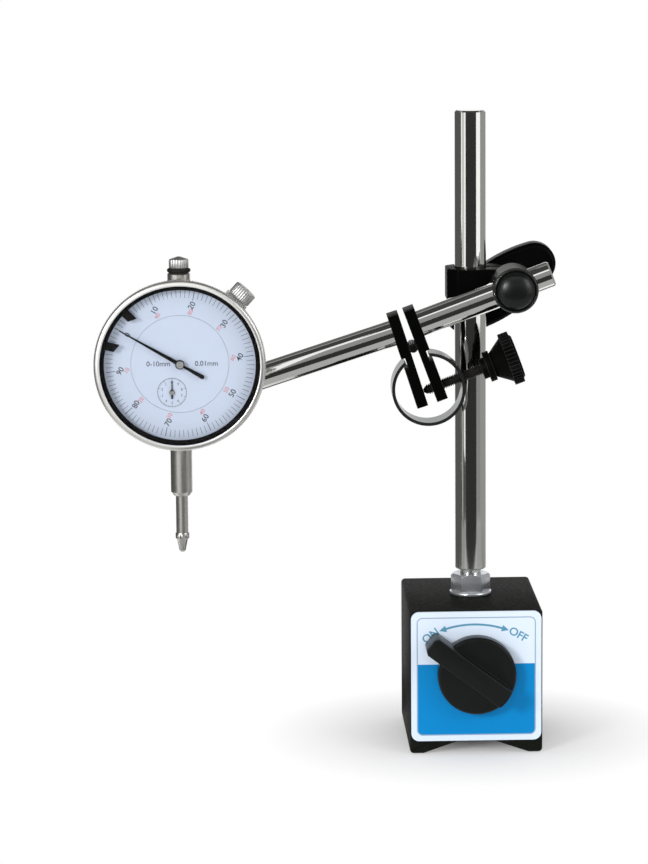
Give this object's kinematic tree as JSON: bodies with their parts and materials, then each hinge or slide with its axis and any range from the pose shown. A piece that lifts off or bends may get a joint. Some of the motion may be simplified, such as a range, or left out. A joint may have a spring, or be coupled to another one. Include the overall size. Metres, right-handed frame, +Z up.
{
  "type": "dial indicator with magnetic base",
  "caption": "Dial indicator on a jointed arm with a fine adjuster, clamped to a polished column on a black block base with a switchable magnet and a V groove.",
  "frame": {"origin": "middle of the base's underside, where the column axis meets the plane of the feet", "axes": "+Z up along the column, +Y away from the dial's face, +X to the right as the dial is read"},
  "size_m": [0.1746, 0.0833, 0.24],
  "materials": {
    "black_paint": "black wrinkle paint",
    "brass": "machined brass",
    "label": "printed blue and white plate",
    "steel": "bare steel",
    "satin_steel": "fine turned steel",
    "spring_steel": "polished spring steel",
    "blue_steel": "blued spring steel",
    "zinc": "bright zinc plate",
    "magnet": "dark sintered magnet",
    "black_plastic": "moulded black plastic",
    "black_gloss": "glossy black plastic",
    "black_oxide": "black oxide steel",
    "chrome": "polished chrome plate",
    "bezel_chrome": "satin chrome, knurled rim",
    "satin_alloy": "satin metal",
    "crystal": "clear acrylic",
    "black_ring": "black plastic",
    "dial_white": "pale dial enamel with printed scale",
    "pointer_black": "black lacquer",
    "black_rubber": "rubber"
  },
  "bodies": {
    "base": {"pole_blocks": "black_paint", "pole_spacers": "brass", "front_bush": "brass", "label_plate": "label", "rear_cover": "black_paint", "cover_screws": "steel", "column_washer": "zinc", "column_nut": "zinc"},
    "rotor": {"rotor_magnet": "magnet", "rotor_poles": "steel", "rotor_shaft": "brass", "base_knob": "black_plastic"},
    "mast": {"column": "chrome"},
    "clamp": {"clamp_block": "black_oxide"},
    "eye": {"eye_bolt": "steel", "clamp_sleeve": "chrome", "sleeve_cap": "black_gloss"},
    "handle": {"clamp_handle": "black_plastic"},
    "rear_rod": {"rear_arm": "chrome"},
    "adjuster": {"rear_plate": "black_oxide", "pivot_roller": "black_oxide", "spring_ring": "spring_steel"},
    "screw": {"adjuster_screw": "black_oxide"},
    "screw_knob": {"adjuster_knob": "black_plastic"},
    "front_rod": {"front_plate": "black_oxide", "front_arm": "chrome"},
    "link": {"swivel_link": "zinc", "swivel_bolt": "steel", "swivel_nut": "black_oxide", "tilt_bolt": "steel", "tilt_nut": "black_oxide"},
    "indicator": {"case": "satin_alloy", "stem": "satin_steel", "top_bush": "satin_steel", "back_cover": "satin_alloy", "back_cover_screws": "steel", "centre_face": "dial_white", "hairspring": "blue_steel", "movement_plate": "brass", "movement_bridge": "brass", "pinion_cock": "brass", "movement_screws": "steel", "return_spring": "spring_steel"},
    "clamp_thumb": {"bezel_screw": "chrome"},
    "dial_bezel": {"bezel": "bezel_chrome", "crystal": "crystal", "crystal_ring": "black_ring", "scale_ring": "dial_white"},
    "tab_high": {"limit_tab_high": "black_ring"},
    "tab_low": {"limit_tab_low": "black_ring"},
    "plunger": {"spindle": "satin_steel", "guide_pin": "steel", "contact_point": "satin_steel", "spindle_cap": "satin_steel", "cap_o_ring": "black_rubber"},
    "centre_arbor": {"centre_pinion": "brass", "main_pointer": "pointer_black"},
    "wheel_arbor": {"rack_wheel": "brass", "small_pointer": "pointer_black"},
    "hair_arbor": {"hairspring_wheel": "brass"}
  },
  "joints": [
    {"name": "magnet_switch", "type": "hinge", "parent": "base", "child": "rotor", "pos_m": [0, -0.03, 0.031], "axis": [0, 1, 0], "range_deg": [0, 106]},
    {"name": "column_turn", "type": "hinge", "parent": "base", "child": "mast", "pos_m": [0, 0, 0.1], "axis": [0, 0, 1], "continuous": true},
    {"name": "clamp_slide", "type": "slide", "parent": "mast", "child": "clamp", "axis": [0, 0, 1], "range_m": [-0.04, 0.055]},
    {"name": "arm_tilt", "type": "hinge", "parent": "clamp", "child": "eye", "pos_m": [0.0152, -0.01755, 0.1748], "axis": [0, 1, 0], "range_deg": [-20, 40]},
    {"name": "handle_turn", "type": "hinge", "parent": "eye", "child": "handle", "pos_m": [0.0152, 0.015, 0.1748], "axis": [0, 1, 0], "continuous": true},
    {"name": "arm_slide", "type": "slide", "parent": "eye", "child": "rear_rod", "axis": [0.9385, 0, 0.3453], "range_m": [-0.005, 0.022]},
    {"name": "arm_roll", "type": "hinge", "parent": "rear_rod", "child": "adjuster", "pos_m": [-0.01295, -0.01755, 0.16444], "axis": [0.9385, 0, 0.3453], "range_deg": [-70, 0]},
    {"name": "fine_adjust", "type": "hinge", "parent": "adjuster", "child": "front_rod", "pos_m": [-0.02283, -0.01755, 0.15335], "axis": [0, 1, 0], "range_deg": [-1.8, 1.8]},
    {"name": "screw_advance", "type": "slide", "parent": "adjuster", "child": "screw", "axis": [-0.9385, 0, -0.3453], "range_m": [-0.00056, 0.00056]},
    {"name": "screw_turn", "type": "hinge", "parent": "screw", "child": "screw_knob", "pos_m": [-0.00453, -0.01755, 0.14154], "axis": [-0.9385, 0, -0.3453], "range_deg": [-284, 284]},
    {"name": "holder_swivel", "type": "hinge", "parent": "front_rod", "child": "link", "pos_m": [-0.10952, -0.01755, 0.13287], "axis": [0, 1, 0], "range_deg": [-90, 15]},
    {"name": "indicator_tilt", "type": "hinge", "parent": "link", "child": "indicator", "pos_m": [-0.10952, -0.01755, 0.15167], "axis": [-1, 0, 0], "range_deg": [-1.5, 60]},
    {"name": "bezel_turn", "type": "hinge", "parent": "indicator", "child": "dial_bezel", "pos_m": [-0.10952, -0.02615, 0.15167], "axis": [0, 1, 0], "continuous": true},
    {"name": "tab_high_turn", "type": "hinge", "parent": "dial_bezel", "child": "tab_high", "pos_m": [-0.10952, -0.02615, 0.15167], "axis": [0, 1, 0], "range_deg": [0, 120]},
    {"name": "tab_low_turn", "type": "hinge", "parent": "dial_bezel", "child": "tab_low", "pos_m": [-0.10952, -0.02615, 0.15167], "axis": [0, 1, 0], "range_deg": [-120, 0]},
    {"name": "bezel_clamp", "type": "hinge", "parent": "indicator", "child": "clamp_thumb", "pos_m": [-0.08718, -0.04195, 0.17596], "axis": [0.6769, 0, 0.7361], "range_deg": [-180, 180]},
    {"name": "spindle_slide", "type": "slide", "parent": "indicator", "child": "plunger", "axis": [0, 0, 1], "range_m": [0, 0.01], "stiffness_N_per_m": 50, "springref_m": -0.02, "deforming": ["return_spring"]},
    {"name": "main_pointer_turn", "type": "hinge", "parent": "indicator", "child": "centre_arbor", "pos_m": [-0.10952, -0.02615, 0.15167], "axis": [0, 1, 0], "range_deg": [-1, 3601]},
    {"name": "wheel_turn", "type": "hinge", "parent": "indicator", "child": "wheel_arbor", "pos_m": [-0.11252, -0.02615, 0.14114], "axis": [0, 1, 0], "range_deg": [-361, 1]},
    {"name": "hairspring_turn", "type": "hinge", "parent": "indicator", "child": "hair_arbor", "pos_m": [-0.10652, -0.02615, 0.16219], "axis": [0, 1, 0], "range_deg": [-361, 1]}
  ],
  "couplings": [
    {"joint": "screw_advance", "follows": "fine_adjust", "m_per_rad": 0.0174},
    {"joint": "screw_turn", "follows": "fine_adjust", "ratio": 156.18},
    {"joint": "main_pointer_turn", "follows": "spindle_slide", "rad_per_m": 6283.2},
    {"joint": "wheel_turn", "follows": "spindle_slide", "rad_per_m": -628.32},
    {"joint": "hairspring_turn", "follows": "spindle_slide", "rad_per_m": -628.32}
  ]
}
